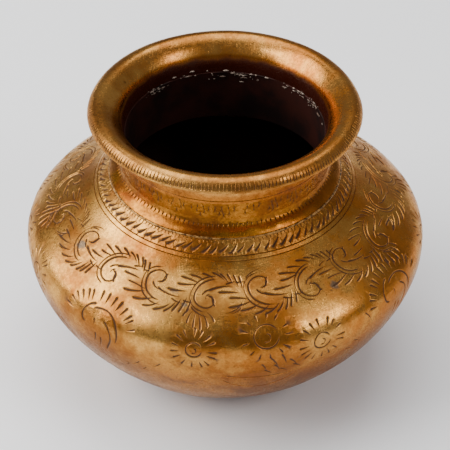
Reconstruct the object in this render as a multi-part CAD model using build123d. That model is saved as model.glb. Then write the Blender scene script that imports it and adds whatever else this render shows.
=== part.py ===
"""Squat engraved brass water pot with a narrow neck and a heavy flared lip.

Millimetres, +Z up.  The origin is the middle of the flat base and the pot is a body of
revolution about Z.  It is built from four brass pieces that fit into each other with
stepped joints, and three rings of brazing metal that close those joints:

    lower_bowl        raised lower half of the belly, with the flat base
    shoulder_shell    upper half of the belly, which sockets over the lower bowl
    neck              turned neck, whose spigot drops into the shoulder's opening
    lip_ring          cast and turned flared lip, whose skirt slips over the neck
    belly_braze, neck_foot_braze, lip_braze

Every section is drawn flat, with X as the radius and Y as the height, and then turned.
"""
import math
import os

from build123d import *

# Belly.  Its outline is two Bezier curves that meet upright at the widest place.
BELLY_RADIUS = 80.0
BELLY_HEIGHT = 57.2
WALL = 1.6
BASE_RADIUS = 36.0
BASE_SLOPE = 27.0
COLLAR_SLOPE = 36.3

# Handle lengths of those curves, at their lower and upper ends.  The inner pair keeps the
# wall even.
OUTER_HANDLES = ((21.1, 20.5), (11.3, 17.4))
INNER_HANDLES = ((17.2, 17.7), (7.2, 12.5))

# Base: a flat ring to stand on, with the middle pushed in a little.
RECESS_RADIUS = 29.0
RECESS_DEPTH = 1.0
FLOOR_TOP = 3.0
FLOOR_RADIUS = 38.0

# Collar, where the shoulder steepens, and the flat seat that the neck stands on.
COLLAR_RADIUS = 52.0
COLLAR_HEIGHT = 82.1
SEAT_RADIUS = 45.6
SEAT_HEIGHT = 87.6

# Lap joint between the two halves of the belly, behind which the inside is a short upright band.
LAP_RADIUS = 79.1
LAP_BOTTOM = 53.6
LAP_TOP = 57.6
BAND_BOTTOM = 56.0
BAND_TOP = 59.0

# Neck.
THROAT_RADIUS = 39.2
NECK_RADIUS = 41.2
SPIGOT_BOTTOM = 84.6
FOOT_EDGE = 0.8
FOOT_HOLLOW = 5.0
NECK_TOP = 106.0

# Lip: skirt, hollow underside, sharp corner and round crest.
SKIRT_RADIUS = 42.9
SKIRT_BOTTOM = 102.0
HOLLOW_START = 106.4
HOLLOW_END = (50.2, 113.6)
CREST_CENTRE = (48.7, 114.4)
CREST_ROUNDING = 4.9
CORNER_ANGLE = 9.0
FLARE_ANGLE = 120.0

# Handle lengths of the hollow curves under the lip and at the neck's foot.
LIP_HOLLOW_HANDLE = 3.6
LIP_HOLLOW_ANGLE = 20.0
FOOT_HANDLE_SHARE = 0.6
FOOT_ANGLE = 128.0

# Radii of the round beads of brazing metal.
BELLY_BEAD = 1.35
NECK_FOOT_BEAD = 0.75
LIP_BEAD = 0.9


def polar(centre, radius, angle):
    """Point at a distance from centre, in a direction given in degrees."""
    turn = math.radians(angle)
    return (centre[0] + radius * math.cos(turn), centre[1] + radius * math.sin(turn))


def bezier(start, start_angle, start_handle, end, end_angle, end_handle):
    """Curve that leaves start and reaches end in directions given in degrees."""
    first = polar(start, start_handle, start_angle)
    second = polar(end, -end_handle, end_angle)
    return Bezier(start, first, second, end)


def rectangle(r_low, r_high, z_low, z_high):
    """Rectangle of the section plane between two radii and two heights."""
    middle = Pos((r_low + r_high) / 2, (z_low + z_high) / 2)
    return middle * Rectangle(r_high - r_low, z_high - z_low)


def turned(section):
    """Solid of revolution of a flat section about the pot's axis."""
    return revolve(Plane.XZ * section, Axis.Z, 360)


def belly_curves(foot, depth, band, handles):
    """Lower and shoulder curves at a depth below the outside, which end at the heights of a band."""
    radius = BELLY_RADIUS - depth
    collar = polar((COLLAR_RADIUS, COLLAR_HEIGHT), -depth, 90.0 - COLLAR_SLOPE)
    below, above = handles
    lower = bezier(foot, BASE_SLOPE, below[0], (radius, band[0]), 90.0, below[1])
    upper = bezier((radius, band[1]), 90.0, above[0], collar, 180.0 - COLLAR_SLOPE, above[1])
    return lower, upper


def belly_section():
    """Whole wall of the belly, from the middle of the base to the neck's opening."""
    keel = (BELLY_HEIGHT, BELLY_HEIGHT)
    band = (BAND_BOTTOM, BAND_TOP)
    outer_low, outer_high = belly_curves((BASE_RADIUS, 0.0), 0.0, keel, OUTER_HANDLES)
    inner_low, inner_high = belly_curves((FLOOR_RADIUS, FLOOR_TOP), WALL, band, INNER_HANDLES)
    upright = Line(inner_low @ 1, inner_high @ 0)
    seat = Polyline(
        outer_high @ 1,
        (SEAT_RADIUS, SEAT_HEIGHT),
        (NECK_RADIUS, SEAT_HEIGHT),
        (NECK_RADIUS, SEAT_HEIGHT - WALL),
        (SEAT_RADIUS - WALL, SEAT_HEIGHT - WALL),
        inner_high @ 1,
    )
    base = Polyline(
        inner_low @ 0,
        (0.0, FLOOR_TOP),
        (0.0, RECESS_DEPTH),
        (RECESS_RADIUS, RECESS_DEPTH),
        (RECESS_RADIUS + RECESS_DEPTH, 0.0),
        outer_low @ 0,
    )
    return make_face(Curve() + [outer_low, outer_high, seat, inner_high, upright, inner_low, base])


def lower_bowl_section():
    """The belly below the lap, with its thin edge standing up inside the joint."""
    above = rectangle(-1.0, 2 * BELLY_RADIUS, LAP_TOP, 2 * SEAT_HEIGHT)
    socket = rectangle(LAP_RADIUS, 2 * BELLY_RADIUS, LAP_BOTTOM, 2 * SEAT_HEIGHT)
    return belly_section() - above - socket


def shoulder_section():
    """The belly above the lap, whose thin lower edge is the socket of the joint."""
    return belly_section() - lower_bowl_section()


def neck_section():
    """Plain wall with a spigot below and a foot flange that flares out in a hollow."""
    foot_top = SEAT_HEIGHT + FOOT_EDGE
    waist = (NECK_RADIUS, foot_top + FOOT_HOLLOW)
    across = FOOT_HANDLE_SHARE * (SEAT_RADIUS - NECK_RADIUS)
    up = FOOT_HANDLE_SHARE * FOOT_HOLLOW
    hollow = bezier((SEAT_RADIUS, foot_top), FOOT_ANGLE, across, waist, 90.0, up)
    wall = Polyline(
        waist,
        (NECK_RADIUS, NECK_TOP),
        (THROAT_RADIUS, NECK_TOP),
        (THROAT_RADIUS, SPIGOT_BOTTOM),
        (NECK_RADIUS, SPIGOT_BOTTOM),
        (NECK_RADIUS, SEAT_HEIGHT),
        (SEAT_RADIUS, SEAT_HEIGHT),
        (SEAT_RADIUS, foot_top),
    )
    return make_face(Curve() + [hollow, wall])


def lip_section():
    """Skirt over the neck, hollow underside, sharp corner, round crest and flared mouth."""
    corner = polar(CREST_CENTRE, CREST_ROUNDING, CORNER_ANGLE)
    summit = polar(CREST_CENTRE, CREST_ROUNDING, 90.0)
    flare_start = polar(CREST_CENTRE, CREST_ROUNDING, FLARE_ANGLE)

    # The mouth's arc leaves the crest smoothly and ends upright in the throat.
    turn = math.radians(FLARE_ANGLE)
    flare_radius = (flare_start[0] - THROAT_RADIUS) / (1.0 + math.cos(turn))
    flare_centre = (THROAT_RADIUS + flare_radius, flare_start[1] - flare_radius * math.sin(turn))
    flare_middle = polar(flare_centre, flare_radius, (FLARE_ANGLE + 180.0) / 2)
    flare_end = (THROAT_RADIUS, flare_centre[1])

    skirt_top = (SKIRT_RADIUS, HOLLOW_START)
    reach = LIP_HOLLOW_HANDLE
    hollow = bezier(skirt_top, 90.0, reach, HOLLOW_END, LIP_HOLLOW_ANGLE, reach)
    crest = ThreePointArc(corner, summit, flare_start)
    flare = ThreePointArc(flare_start, flare_middle, flare_end)
    skirt = Polyline(
        flare_end,
        (THROAT_RADIUS, NECK_TOP),
        (NECK_RADIUS, NECK_TOP),
        (NECK_RADIUS, SKIRT_BOTTOM),
        (SKIRT_RADIUS, SKIRT_BOTTOM),
        skirt_top,
    )
    return make_face(Curve() + [hollow, Line(HOLLOW_END, corner), crest, flare, skirt])


def bead_section(centre, radius, *walls):
    """Round bead of brazing metal, less the walls whose seam it closes."""
    bead = Pos(*centre) * Circle(radius)
    for wall in walls:
        bead -= wall
    return bead


def make_pieces():
    """Every piece of the pot, by node name."""
    lower = lower_bowl_section()
    shoulder = shoulder_section()
    neck = neck_section()
    lip = lip_section()
    belly_seam = (BELLY_RADIUS - WALL, LAP_TOP)
    foot_seam = (SEAT_RADIUS, SEAT_HEIGHT)
    lip_seam = (THROAT_RADIUS, NECK_TOP)
    return {
        "lower_bowl": turned(lower),
        "shoulder_shell": turned(shoulder),
        "neck": turned(neck),
        "lip_ring": turned(lip),
        "belly_braze": turned(bead_section(belly_seam, BELLY_BEAD, lower, shoulder)),
        "neck_foot_braze": turned(bead_section(foot_seam, NECK_FOOT_BEAD, shoulder, neck)),
        "lip_braze": turned(bead_section(lip_seam, LIP_BEAD, neck, lip)),
    }


def main():
    """Write one STEP file for each piece."""
    os.makedirs("parts", exist_ok=True)
    for name, shape in make_pieces().items():
        box = shape.bounding_box()
        print(f"{name:16s} solids {len(shape.solids())}  z {box.min.Z:7.2f} to {box.max.Z:7.2f}"
              f"  radius {box.max.X:6.2f}  volume {shape.volume:9.1f}")
        export_step(shape, f"parts/{name}.step")


main()
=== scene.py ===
# %% [markdown]
# An engraved brass water pot, made as a lesson in turned surfaces and cut ornament.
# The pot is a body of revolution, so nearly every piece is an outline carried round an axis.
# The first cell loads the measured model, whose pieces say where everything goes.

# %% Load the measured model
import math

import bpy
import numpy as np
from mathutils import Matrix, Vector
from mathutils.geometry import delaunay_2d_cdt


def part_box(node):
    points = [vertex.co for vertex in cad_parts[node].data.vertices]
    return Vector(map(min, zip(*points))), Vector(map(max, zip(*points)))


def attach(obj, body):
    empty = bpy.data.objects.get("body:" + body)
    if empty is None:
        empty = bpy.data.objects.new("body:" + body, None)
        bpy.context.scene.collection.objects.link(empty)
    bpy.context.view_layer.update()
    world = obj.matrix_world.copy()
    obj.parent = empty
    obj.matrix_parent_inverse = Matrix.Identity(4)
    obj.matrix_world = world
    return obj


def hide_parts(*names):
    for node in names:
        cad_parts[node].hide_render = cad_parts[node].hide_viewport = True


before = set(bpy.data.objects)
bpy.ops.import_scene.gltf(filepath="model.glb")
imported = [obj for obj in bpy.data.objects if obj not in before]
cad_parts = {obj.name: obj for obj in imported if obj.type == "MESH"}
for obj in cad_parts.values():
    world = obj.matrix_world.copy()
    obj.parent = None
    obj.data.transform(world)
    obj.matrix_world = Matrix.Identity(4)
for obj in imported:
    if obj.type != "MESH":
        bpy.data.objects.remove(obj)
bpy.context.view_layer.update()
MM = 0.001
rng = np.random.default_rng(11)

# %% [markdown]
# The camera comes first, because every later choice is judged through it.  It looks down at
# the pot from the front with a long lens, so the ellipses of the lip stay calm.

# %% Camera
CAMERA_RISE = math.radians(38.4)
CAMERA_DISTANCE = 0.850
AIM_HEIGHT = 0.0581
LENS_MM = 168.0


def place_camera():
    """Camera on a circle about the aim point: back along -Y and up by the angle of rise."""
    data = bpy.data.cameras.new("camera")
    data.lens = LENS_MM
    data.sensor_width = 36.0
    data.clip_start = 0.05
    camera = bpy.data.objects.new("camera", data)
    bpy.context.collection.objects.link(camera)
    back = CAMERA_DISTANCE * math.cos(CAMERA_RISE)
    up = AIM_HEIGHT + CAMERA_DISTANCE * math.sin(CAMERA_RISE)
    camera.location = (0.0, -back, up)
    camera.rotation_euler = (math.pi / 2 - CAMERA_RISE, 0.0, 0.0)
    bpy.context.scene.camera = camera
    return camera


print("camera at", [round(v, 3) for v in place_camera().location])

# %% [markdown]
# A turned piece is told by its outline: a chain of curves in the plane of radius and height.
# The same short list of curves as in the measured model gives the same pot.  Each outline
# also keeps a second measure beside its length, the length divided by the radius.  With that
# measure upright and the angle across, a drawing on flat paper wraps on to the pot without
# leaning or stretching any of its shapes, which is what the engraving needs.

# %% Outlines of turned pieces
SMOOTH = 60
CORNER_GAP = 1e-4
TINY = 1e-12


def unit(vectors):
    """The same vectors brought to length one."""
    return vectors / np.maximum(np.linalg.norm(vectors, axis=-1, keepdims=True), TINY)


def polar(centre, radius, degrees):
    """Point at a radius from centre, in a direction given in degrees."""
    turn = np.radians(degrees)
    return np.array([centre[0] + radius * np.cos(turn), centre[1] + radius * np.sin(turn)])


def bezier(start, start_angle, start_handle, end, end_angle, end_handle):
    """Cubic curve between two points, leaving and arriving in directions given in degrees."""
    start, end = np.array(start, float), np.array(end, float)
    first = polar(start, start_handle, start_angle)
    second = polar(end, -end_handle, end_angle)
    t = np.linspace(0, 1, SMOOTH)[:, None]
    near_start = (1 - t) ** 3 * start + 3 * (1 - t) ** 2 * t * first
    return near_start + 3 * (1 - t) * t**2 * second + t**3 * end


def arc(centre, radius, from_degrees, to_degrees):
    """Part of a circle between two directions."""
    turn = np.radians(np.linspace(from_degrees, to_degrees, SMOOTH))
    return np.column_stack([centre[0] + radius * np.cos(turn), centre[1] + radius * np.sin(turn)])


def straight(*points):
    """Straight stretches through the points, as separate pieces so that corners stay sharp."""
    return [np.linspace(a, b, 8) for a, b in zip(points[:-1], points[1:])]


def outline(pieces, scale_radius=0.0):
    """Join curves into one outline with its normals and the measure used along it.

    The normal is the direction of travel turned a quarter to the right.  The measure is the
    length gone, or with a scale radius R the sum of R / radius over the length.
    """
    parts, normals, lengths, end = [], [], [], 0.0
    for piece in pieces:
        step = unit(np.gradient(piece, axis=0))
        gone = np.concatenate([[0.0], np.cumsum(np.linalg.norm(np.diff(piece, axis=0), axis=1))])
        parts.append(piece)
        normals.append(np.column_stack([step[:, 1], -step[:, 0]]))
        lengths.append(gone + end)
        end = lengths[-1][-1] + CORNER_GAP
    point, normal, length = np.vstack(parts), np.vstack(normals), np.concatenate(lengths)
    if not scale_radius:
        return {"point": point, "normal": normal, "at": length, "scale": 1.0}
    rate = scale_radius / np.maximum(point[:, 0], 1.0)
    wrap = np.concatenate([[0.0], np.cumsum((rate[1:] + rate[:-1]) / 2 * np.diff(length))])
    return {"point": point, "normal": normal, "at": wrap, "scale": scale_radius}


def along(shape, key, at):
    """Value of an outline's points or normals at the given measures."""
    table = shape[key]
    return np.stack([np.interp(at, shape["at"], table[:, c]) for c in (0, 1)], axis=-1)


def measure_at(shape, height):
    """Measure at which an outline that climbs passes a height."""
    return float(np.interp(height, shape["point"][:, 1], shape["at"]))


quarter = outline([arc((0.0, 0.0), 10.0, 0.0, 90.0)])
print("a quarter circle of radius 10 is", quarter["at"][-1].round(2), "long")

# %% [markdown]
# The belly is two raised bowls that meet just under the keel, its widest place.  Its outline is
# a fuller curve below the keel and a flatter one above it, ending in the straight slope of the
# collar on which the neck stands.  Heights that the measured model already knows are read from
# its pieces; the rest are sizes in millimetres.

# %% Outline of the belly
BELLY_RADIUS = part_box("shoulder_shell")[1].x / MM
JOINT_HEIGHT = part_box("shoulder_shell")[0].z / MM
SEAT_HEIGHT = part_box("shoulder_shell")[1].z / MM
LAP_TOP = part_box("lower_bowl")[1].z / MM
SPIGOT_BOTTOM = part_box("neck")[0].z / MM
NECK_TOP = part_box("neck")[1].z / MM
SKIRT_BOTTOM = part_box("lip_ring")[0].z / MM
LIP_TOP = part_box("lip_ring")[1].z / MM
KEEL_HEIGHT = 57.2
WALL = 1.6
BASE_RADIUS = 36.0
BASE_SLOPE = 27.0
COLLAR = (52.0, 82.1)
COLLAR_SLOPE = 36.3
SEAT_RADIUS = 45.6
DRAWING_RADIUS = 70.0

keel = (BELLY_RADIUS, KEEL_HEIGHT)
belly_low = bezier((BASE_RADIUS, 0.0), BASE_SLOPE, 21.1, keel, 90.0, 20.5)
belly_high = bezier(keel, 90.0, 11.3, COLLAR, 180.0 - COLLAR_SLOPE, 17.4)
belly_collar = straight(COLLAR, (SEAT_RADIUS, SEAT_HEIGHT))
BELLY = outline([belly_low, belly_high, *belly_collar], DRAWING_RADIUS)
BELLY["at"] = BELLY["at"] - measure_at(BELLY, KEEL_HEIGHT)
BELLY_FOOT, BELLY_HEAD = BELLY["at"][0], BELLY["at"][-1]
JOINT = measure_at(BELLY, JOINT_HEIGHT)
print("belly drawing reaches from", BELLY_FOOT.round(1), "to", BELLY_HEAD.round(1))
print("its joint is at", round(JOINT, 2))

# %% [markdown]
# The lip is a heavy cast ring.  From outside to inside its outline climbs a thin skirt, swings
# out under the lip, turns over a narrow round crest and rolls down into the throat in one big
# hollow curve.  The curve's centre is worked out so that it leaves the crest without a corner
# and ends upright at the throat.  The neck is a tube that widens to a thin flange at its foot.

# %% Outlines of the lip and the neck
NECK_RADIUS = 41.2
THROAT_RADIUS = 39.2
SKIRT_RADIUS = 42.9
SKIRT_TOP = (SKIRT_RADIUS, 106.4)
LIP_EDGE = (50.2, 113.6)
CREST = (48.7, 114.4)
CREST_ROUNDING = LIP_TOP - CREST[1]
CORNER_ANGLE = 9.0
FLARE_ANGLE = 120.0
LIP_DRAWING_RADIUS = 52.0
FLANGE_TOP = (SEAT_RADIUS, SEAT_HEIGHT + 0.8)
NECK_FLARE = SEAT_HEIGHT + 5.8

flare_start = polar(CREST, CREST_ROUNDING, FLARE_ANGLE)
flare_radius = (flare_start[0] - THROAT_RADIUS) / (1 + math.cos(math.radians(FLARE_ANGLE)))
flare_centre = polar(flare_start, -flare_radius, FLARE_ANGLE)
lip_corner = tuple(polar(CREST, CREST_ROUNDING, CORNER_ANGLE))
lip_curves = [
    *straight((SKIRT_RADIUS, SKIRT_BOTTOM), SKIRT_TOP),
    bezier(SKIRT_TOP, 90.0, 3.6, LIP_EDGE, 20.0, 3.6),
    *straight(LIP_EDGE, lip_corner),
    arc(CREST, CREST_ROUNDING, CORNER_ANGLE, FLARE_ANGLE),
    arc(flare_centre, flare_radius, FLARE_ANGLE, 180.0),
]
LIP = outline(lip_curves, LIP_DRAWING_RADIUS)

neck_curves = [
    *straight((SEAT_RADIUS, SEAT_HEIGHT), FLANGE_TOP),
    bezier(FLANGE_TOP, 128.0, 2.64, (NECK_RADIUS, NECK_FLARE), 90.0, 3.0),
    *straight((NECK_RADIUS, NECK_FLARE), (NECK_RADIUS, NECK_TOP)),
]
NECK = outline(neck_curves, NECK_RADIUS)
print("the lip rolls in to the throat at", LIP["point"][-1].round(2))

# %% [markdown]
# The brass was cut with a hand graver and dotted with a punch.  A graver lifts a sliver with
# a V-shaped tool, so each cut is a little valley, widest where the tool went in and thin where
# it ran out.  Here every cut is a centre line with a half width at each of its points, which
# is enough to draw leaf strokes, long scrolls and punched dots.  Sets of cuts are whole arrays,
# so one call draws every leaf of a band.

# %% Strokes of the graver


def cuts(lines, half):
    """A set of K cuts, each a centre line of n points, with the half width at each point."""
    return {"line": np.asarray(lines, float), "half": np.asarray(half, float)}


def leaf_cuts(tips, roots, bows, widths, samples=8):
    """Leaf-shaped cuts from a thick tip to a thin root.

    Centre line: quadratic curve from tip to root with its middle pushed sideways by the bow.
    Half width: widths / 2 * (1 - t)^0.7, closing to nothing over the first tenth.
    """
    tips, roots = np.atleast_2d(tips).astype(float), np.atleast_2d(roots).astype(float)
    t = np.linspace(0, 1, samples) ** 1.15
    span = roots - tips
    side = unit(np.column_stack([-span[:, 1], span[:, 0]]))
    middle = (tips + roots) / 2 + 2 * np.asarray(bows, float).reshape(-1, 1) * side
    u = t[None, :, None]
    line = (1 - u) ** 2 * tips[:, None] + 2 * (1 - u) * u * middle[:, None] + u**2 * roots[:, None]
    shape = (1 - t) ** 0.7 * np.minimum(1.0, t / 0.13)
    return cuts(line, np.asarray(widths, float).reshape(-1, 1) / 2 * shape)


def scroll_cuts(corners, width, steps=3):
    """Smooth cuts through lists of points (Catmull-Rom curves), tapering at both ends."""
    corners = np.asarray(corners, float)
    before = 2 * corners[:, :1] - corners[:, 1:2]
    after = 2 * corners[:, -1:] - corners[:, -2:-1]
    p = np.concatenate([before, corners, after], axis=1)
    u = (np.arange(steps) / steps)[None, None, :, None]
    p0, p1, p2, p3 = (p[:, k : p.shape[1] - 3 + k, None] for k in range(4))
    body = 0.5 * (2 * p1 + (p2 - p0) * u + (2 * p0 - 5 * p1 + 4 * p2 - p3) * u**2)
    body = body + 0.5 * (3 * p1 - p0 - 3 * p2 + p3) * u**3
    line = np.concatenate([body.reshape(len(corners), -1, 2), corners[:, -1:]], axis=1)
    t = np.linspace(0, 1, line.shape[1])
    shape = np.minimum(1.0, np.minimum(t, 1 - t) / 0.08) * (0.8 + 0.2 * np.cos(9 * t))
    return cuts(line, np.broadcast_to(width / 2 * shape, line.shape[:2]))


def dot_cuts(centres, radius):
    """Punched dots: very short cuts, nearly round, with a deepest point in the middle."""
    centres = np.atleast_2d(centres).astype(float)
    t = np.linspace(-1, 1, 5)
    upright = t[None, :, None] * np.array([0.0, 1.0]) * radius
    half = np.sqrt(1 - t**2)[None] * radius * np.ones((len(centres), 1))
    return cuts(centres[:, None, :] + upright, half)


one_leaf = leaf_cuts([(0, 0)], [(4, 0)], [0.3], [1.5])
print("a leaf 1.5 wide has half widths", one_leaf["half"][0].round(2))

# %% [markdown]
# A motif is drawn once and set down many times: moved, perhaps turned over, and shaken a little
# so that no two are alike.  The drawing has two ends that meet at the pot's back, and a motif
# that would hang over an end is brought round or left out there.

# %% Setting motifs down
def placed(cut, centre, flip=1.0, size=1.0, wobble=0.0):
    """The same cuts moved to a centre, perhaps flipped or shaken by an unsteady hand."""
    shake = rng.normal(0, 1, (len(cut["line"]), 1, 2)) * wobble
    line = cut["line"] * np.array([size, size * flip]) + np.asarray(centre, float) + shake
    wide = 1 + rng.uniform(-0.12, 0.12, (len(cut["line"]), 1)) * (wobble > 0)
    return cuts(line, cut["half"] * wide)


def wrapped(cut, half_turn):
    """Bring each cut to the near side of the back seam and leave out those that cross it."""
    line = cut["line"].copy()
    middle = line[:, :, 0].mean(axis=1)
    line[:, :, 0] -= (np.round(middle / (2 * half_turn)) * 2 * half_turn)[:, None]
    keep = np.abs(line[:, :, 0]).max(axis=1) < half_turn - 0.6
    return cuts(line[keep], cut["half"][keep])


print("a drawing 20 wide keeps", len(wrapped(one_leaf, 10.0)["line"]), "leaf out of 1")

# %% [markdown]
# A V-shaped tool makes a valley whose depth follows its width, so the depth at any place comes
# from the half width of the nearest cut there and the distance to its centre line.  Scribed
# lines, cut while the pot turned on a lathe, are treated in the same way.

# %% Depth of the cuts
STEEPNESS = 0.85
DEEPEST = 0.5


def groove_depth(points, cut_sets):
    """Depth of the valleys at the given points.

    With d = steepness * (half width - distance to the centre line), never below 0, the depth
    is deepest * (1 - exp(-d / deepest)), so that broad cuts do not go through the wall.
    """
    depth = np.zeros(len(points))
    for cut in cut_sets:
        a, b = cut["line"][:, :-1].reshape(-1, 2), cut["line"][:, 1:].reshape(-1, 2)
        ha, hb = cut["half"][:, :-1].ravel(), cut["half"][:, 1:].ravel()
        run = b - a
        size = np.maximum((run**2).sum(axis=1), 1e-12)
        for start in range(0, len(points), 400):
            p = points[start : start + 400]
            gap_x = p[:, :1] - a[:, 0]
            gap_y = p[:, 1:] - a[:, 1]
            t = np.clip((gap_x * run[:, 0] + gap_y * run[:, 1]) / size, 0, 1)
            far = np.hypot(gap_x - t * run[:, 0], gap_y - t * run[:, 1])
            deep = (ha + (hb - ha) * t - far).max(axis=1)
            depth[start : start + 400] = np.maximum(depth[start : start + 400], deep)
    return DEEPEST * (1 - np.exp(-STEEPNESS * np.maximum(depth, 0.0) / DEEPEST))


def scribed_depth(flat, scribed, worn):
    """Depth of level V-shaped lines, shallower where the line is worn."""
    depth = np.zeros(len(flat))
    for level, half in scribed:
        gap = np.abs(flat[:, 1] - level)
        depth = np.maximum(depth, STEEPNESS * worn * np.maximum(half - gap, 0))
    return depth


leaf_floor = groove_depth(one_leaf["line"][0], [one_leaf])
print("the same leaf is", leaf_floor.max().round(2), "mm deep")

# %% [markdown]
# A fine even grid would need millions of faces to hold such cuts.  Instead the edges and the
# centre line of every cut become edges of the surface itself, found by a triangulation of the
# flat drawing that must keep them.  First come the lines that have to stay.

# %% Lines that the surface must keep
def chains(lines):
    """Points and edges of K chains of n points."""
    count, samples = lines.shape[:2]
    index = np.arange(count * samples).reshape(count, samples)
    edges = np.stack([index[:, :-1], index[:, 1:]], axis=-1).reshape(-1, 2)
    return lines.reshape(-1, 2), edges


def cut_chains(cut):
    """Left edge, centre line and right edge of every cut, as chains."""
    line, half = cut["line"], cut["half"][..., None]
    step = unit(np.gradient(line, axis=1))
    side = np.stack([-step[..., 1], step[..., 0]], axis=-1)
    return chains(np.concatenate([line + side * half, line, line - side * half]))


def rows_of(levels, half_turn, spacing):
    """Level chains right across the drawing, for borders, corners and scribed lines."""
    count = int(round(2 * half_turn / spacing)) + 1
    x = np.linspace(-half_turn, half_turn, count)
    return np.stack([np.column_stack([x, np.full(count, v)]) for v in levels])


print("a leaf gives", len(cut_chains(one_leaf)[1]), "edges to keep")

# %% [markdown]
# The plain metal between the cuts needs only a loose honeycomb of points.  Points that would
# fall too near a cut are left out, since they would make slivers.  Then one triangulation joins
# everything, and the cuts are real valleys that stay crisp.

# %% The flat drawing
CELL = 0.8


def background(half_turn, bottom, top, spacing, taken):
    """A honeycomb of points over the drawing, left out near the cuts."""
    x = np.arange(-half_turn + spacing, half_turn - spacing * 0.6, spacing)
    y = np.arange(bottom + spacing * 0.7, top - spacing * 0.5, spacing * 0.866)
    grid_x, grid_y = np.meshgrid(x, y)
    grid_x = grid_x + (np.arange(len(y)) % 2)[:, None] * spacing / 2 - spacing / 4
    points = np.column_stack([grid_x.ravel(), grid_y.ravel()])
    return points[~taken(points)]


def occupied(points, reach=1):
    """A test that says whether points lie within about a cell of any of the given points."""
    corner = points.min(axis=0) - 4 * CELL
    size = ((points.max(axis=0) - corner) / CELL).astype(int) + 6
    full = np.zeros(size, bool)
    cell = ((points - corner) / CELL).astype(int)
    full[cell[:, 0], cell[:, 1]] = True
    for _ in range(reach):
        beside = full[:-2, 1:-1] | full[2:, 1:-1]
        full[1:-1, 1:-1] |= beside | full[1:-1, :-2] | full[1:-1, 2:]

    def taken(query):
        place = np.clip(((query - corner) / CELL).astype(int), 0, size - 1)
        return full[place[:, 0], place[:, 1]]

    return taken


def drawing(cut_sets, levels, half_turn, bottom, top, spacing, row_spacing):
    """Triangulate the flat drawing so that every cut, level line and border is an edge."""
    rows = rows_of([bottom, *levels, top], half_turn, row_spacing)
    heights = np.unique(np.concatenate([np.arange(bottom, top, spacing), [top], levels]))
    heights = heights[np.concatenate([[True], np.diff(heights) > 0.05])]
    left = np.column_stack([np.full(len(heights), -half_turn), heights])
    sides = np.stack([left, left * (-1, 1)])
    groups = [cut_chains(cut) for cut in cut_sets] + [chains(rows), chains(sides)]
    points, edges, offset = [], [], 0
    for group_points, group_edges in groups:
        points.append(group_points)
        edges.append(group_edges + offset)
        offset += len(group_points)
    taken = occupied(np.vstack(points))
    points.append(background(half_turn, bottom, top, spacing, taken))
    points, edges = np.vstack(points), np.vstack(edges)
    flat = [Vector(p) for p in points.tolist()]
    found = delaunay_2d_cdt(flat, edges.tolist(), [], 0, 2e-4)
    return np.array([tuple(v) for v in found[0]]), np.array(found[2])


def grid_sheet(across, measures):
    """Regular sheet over the given places across and measures up, as triangles."""
    x, y = np.meshgrid(across, measures)
    index = np.arange(x.size).reshape(x.shape)
    a, b = index[:-1, :-1].ravel(), index[:-1, 1:].ravel()
    c, d = index[1:, 1:].ravel(), index[1:, :-1].ravel()
    triangles = np.vstack([np.column_stack([a, b, c]), np.column_stack([a, c, d])])
    return np.column_stack([x.ravel(), y.ravel()]), triangles


trial_points, trial_faces = drawing([one_leaf], [], 8.0, -8.0, 8.0, 2.5, 2.2)
print("one leaf in a square takes", len(trial_points), "points", len(trial_faces), "faces")

# %% [markdown]
# Every sheet, cut or plain, is set on its outline in the same way.  The sheet's place across
# becomes an angle and its place up becomes a point of the outline; the point is then moved
# along the outline's normal by the soft dents of long use and back by the depth of the cuts.
# The shading normals are worked out from the outline too, so slim triangles never show.

# %% Setting a sheet on an outline
def no_dent(x, y):
    """An even surface."""
    return np.zeros(np.shape(x))


def set_on(shape, flat, triangles, dent=no_dent, depth=None, first=None, last=None):
    """Points and corner normals of a sheet on an outline.

    With a = x / scale, r and z from the outline, n its normal and h = dent - depth:
    P = (r sin a, -r cos a, z) + h * (n_r sin a, -n_r cos a, n_z)
    The corner normals are n tilted by the slope of the dents; cut faces keep their own.
    """
    depth = np.zeros(len(flat)) if depth is None else depth
    angle, y = flat[:, 0] / shape["scale"], flat[:, 1]
    point, normal = along(shape, "point", y), along(shape, "normal", y)
    lift = dent(flat[:, 0], y) - depth
    radius = point[:, 0] + lift * normal[:, 0]
    height = point[:, 1] + lift * normal[:, 1]
    where = np.column_stack([radius * np.sin(angle), -radius * np.cos(angle), height])
    if first is not None:
        where[: len(first)] = first
    if last is not None:
        where[-len(last) :] = last
    corners = corner_normals(shape, flat, triangles, dent)
    cut_faces = (depth[triangles] > 1e-4).any(axis=1)
    corners[cut_faces] = facing(where, triangles)[cut_faces]
    return where, corners


def facing(where, triangles):
    """Corner normals that are each face's own."""
    edge_one = where[triangles[:, 1]] - where[triangles[:, 0]]
    edge_two = where[triangles[:, 2]] - where[triangles[:, 0]]
    return np.repeat(unit(np.cross(edge_one, edge_two))[:, None], 3, axis=1)


def corner_normals(shape, flat, triangles, dent):
    """Normals at the three corners of every triangle, taken a little inside the triangle."""
    corner = flat[triangles]
    middle = corner.mean(axis=1, keepdims=True)
    inside = corner + 0.01 * (middle - corner)
    x, y = inside[..., 0], inside[..., 1]
    angle = x / shape["scale"]
    normal, point = along(shape, "normal", y), along(shape, "point", y)
    step = 0.2
    stretch = shape["scale"] / np.maximum(point[..., 0], 1.0)
    slope_x = (dent(x + step, y) - dent(x - step, y)) / (2 * step) * stretch
    slope_y = (dent(x, y + step) - dent(x, y - step)) / (2 * step) * stretch
    out_r = normal[..., 0] + slope_y * normal[..., 1]
    out_z = normal[..., 1] - slope_y * normal[..., 0]
    sin, cos = np.sin(angle), np.cos(angle)
    return np.stack([out_r * sin - slope_x * cos, -out_r * cos - slope_x * sin, out_z], axis=-1)


trial_where, _ = set_on(BELLY, np.array([[0.0, 0.0]]), np.array([[0, 0, 0]]))
print("the front of the keel is at", trial_where[0].round(2))

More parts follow.
